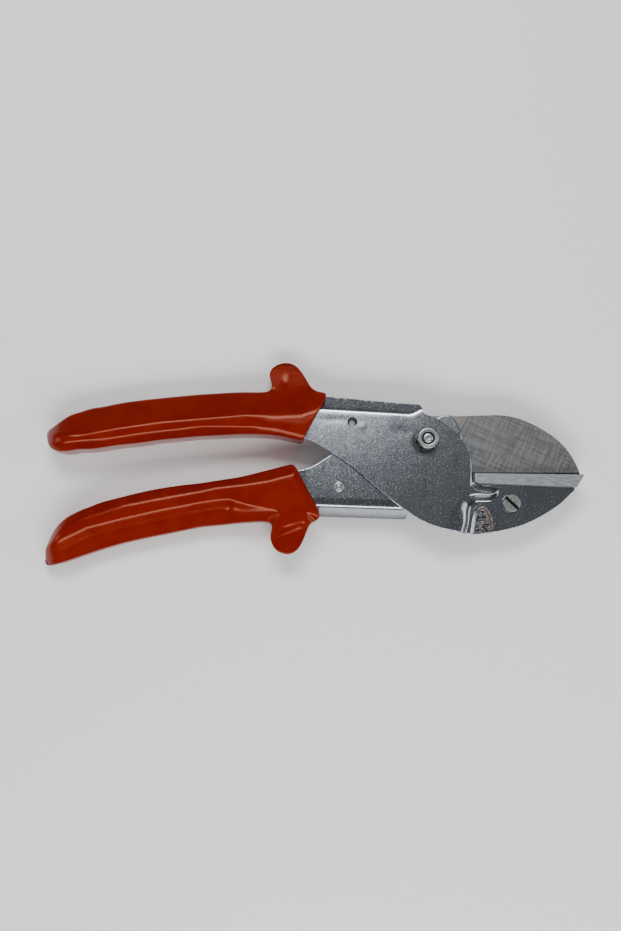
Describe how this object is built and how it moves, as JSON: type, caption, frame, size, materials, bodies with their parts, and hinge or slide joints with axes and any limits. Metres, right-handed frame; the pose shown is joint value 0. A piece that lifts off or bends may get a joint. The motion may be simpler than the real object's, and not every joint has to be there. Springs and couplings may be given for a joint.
{
  "type": "anvil pruner",
  "caption": "Hand pruner with a straight blade closing on a flat soft anvil, pressed steel handles with red PVC grips and finger stops, a pivot bolt, an opening spring and a closing latch.",
  "frame": {"origin": "on the surface it lies on, under the middle of the closed pruner's outline", "axes": "+X from the grips to the blade tip, +Y from the lower grip to the upper grip, +Z from the back to the front face with the pivot nut"},
  "size_m": [0.2126, 0.081, 0.0186],
  "materials": {
    "zinc_steel": "zinc plated pressed sheet steel, mottled and dulled with handling",
    "grip_pvc": "glossy soft PVC, deep orange red",
    "blade_steel": "ground hardened steel with cross-hatched grinding marks",
    "anvil_alloy": "drawn aluminium bar with fine scratches",
    "fastener_zinc": "bright zinc plated fasteners",
    "bush_steel": "turned steel",
    "latch_steel": "stamped zinc plated strip",
    "spring_wire": "oiled spring wire"
  },
  "bodies": {
    "upper_arm": {"upper_handle": "zinc_steel", "upper_grip": "grip_pvc", "anvil": "anvil_alloy", "anvil_screw": "fastener_zinc", "anvil_lock_washer": "fastener_zinc", "anvil_nut": "fastener_zinc", "pivot_bolt": "fastener_zinc", "pivot_bush": "bush_steel", "pivot_washer": "fastener_zinc", "pivot_spring_washer": "fastener_zinc", "pivot_nut": "fastener_zinc", "opening_spring": "spring_wire"},
    "lower_arm": {"lower_handle": "zinc_steel", "lower_grip": "grip_pvc", "blade": "blade_steel", "blade_screws": "fastener_zinc", "blade_nuts": "fastener_zinc", "latch_rivet": "fastener_zinc", "latch_washer": "fastener_zinc"},
    "latch_lever": {"latch": "latch_steel"}
  },
  "joints": [
    {"name": "handle_pivot", "type": "hinge", "parent": "upper_arm", "child": "lower_arm", "pos_m": [0.0431, 0.0084, 0.0087], "axis": [0, 0, 1], "range_deg": [0, 25], "deforming": ["opening_spring"]},
    {"name": "latch_pivot", "type": "hinge", "parent": "lower_arm", "child": "latch_lever", "pos_m": [0.0084, -0.0103, 0.0093], "axis": [0, 0, 1], "range_deg": [0, 20]}
  ]
}
